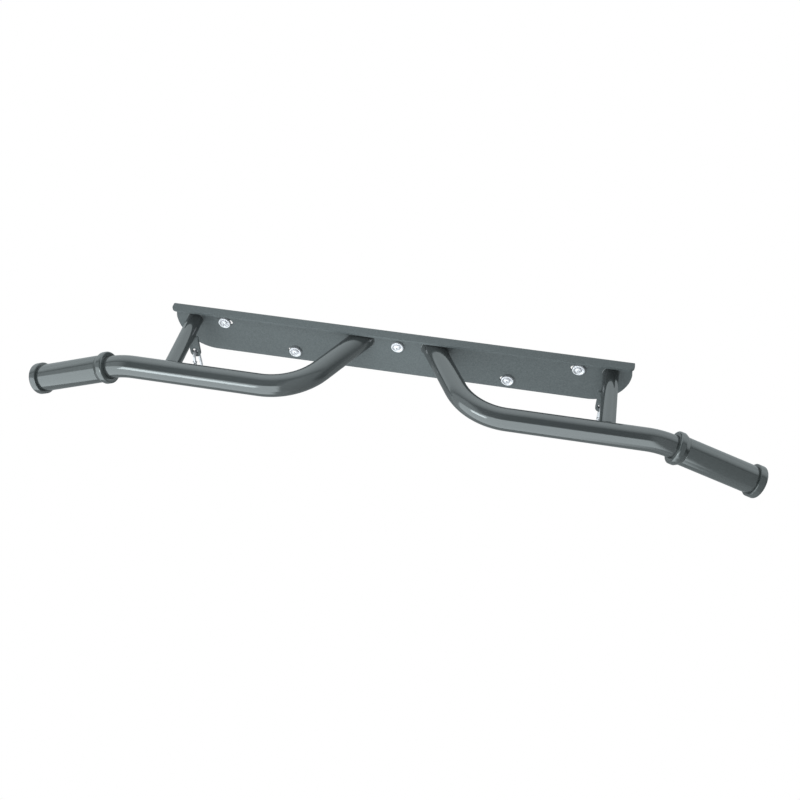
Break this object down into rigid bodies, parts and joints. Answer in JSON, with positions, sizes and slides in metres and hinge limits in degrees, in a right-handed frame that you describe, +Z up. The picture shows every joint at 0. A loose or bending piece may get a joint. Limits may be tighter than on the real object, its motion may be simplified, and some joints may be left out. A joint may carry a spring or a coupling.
{
  "type": "wall-mounted pull-up bar",
  "caption": "Wall-mounted pull-up bar: a folded wall plate carries splayed, drooping tubes with flanged grips, straight braces and snap hooks that hang from lugs.",
  "frame": {"origin": "centre of the wall plate's back face, on the wall", "axes": "+X to the right along the wall as seen from the room, +Y into the wall, +Z up"},
  "size_m": [1.2472, 0.1898, 0.1247],
  "materials": {
    "paint": "satin grey powder coat on steel",
    "grip": "smooth moulded, glossy grey",
    "zinc": "bright zinc plate",
    "steel": "bare spring steel"
  },
  "bodies": {
    "frame": {"wall_plate": "paint", "main_tube_left": "paint", "main_tube_right": "paint", "post_left": "paint", "post_right": "paint", "hook_lug_left": "paint", "hook_lug_right": "paint", "grip_collar_left": "grip", "grip_collar_right": "grip", "grip_sleeve_left": "grip", "grip_sleeve_right": "grip", "grip_end_cap_left": "grip", "grip_end_cap_right": "grip", "screw_left_outer": "zinc", "screw_left_inner": "zinc", "screw_centre": "zinc", "screw_right_inner": "zinc", "screw_right_outer": "zinc", "cup_washer_left_outer": "zinc", "cup_washer_left_inner": "zinc", "cup_washer_centre": "zinc", "cup_washer_right_inner": "zinc", "cup_washer_right_outer": "zinc"},
    "hook_left": {"snap_hook_left": "zinc", "gate_pin_left": "steel"},
    "hook_right": {"snap_hook_right": "zinc", "gate_pin_right": "steel"},
    "gate_arm_left": {"gate_left": "zinc", "gate_spring_left": "steel"},
    "gate_arm_right": {"gate_right": "zinc", "gate_spring_right": "steel"}
  },
  "joints": [
    {"name": "hook_swing_left", "type": "hinge", "parent": "frame", "child": "hook_left", "pos_m": [-0.356, -0.04805, -0.01866], "axis": [0, 1, 0], "range_deg": [-120, 120]},
    {"name": "hook_swing_right", "type": "hinge", "parent": "frame", "child": "hook_right", "pos_m": [0.356, -0.04805, -0.01866], "axis": [0, 1, 0], "range_deg": [-120, 120]},
    {"name": "gate_swing_left", "type": "hinge", "parent": "hook_left", "child": "gate_arm_left", "pos_m": [-0.356, -0.05894, -0.03499], "axis": [1, 0, 0], "range_deg": [0, 30], "stiffness_Nm_per_rad": 0.06, "springref_deg": -17.19},
    {"name": "gate_swing_right", "type": "hinge", "parent": "hook_right", "child": "gate_arm_right", "pos_m": [0.356, -0.05894, -0.03499], "axis": [1, 0, 0], "range_deg": [0, 30], "stiffness_Nm_per_rad": 0.06, "springref_deg": -17.19}
  ]
}
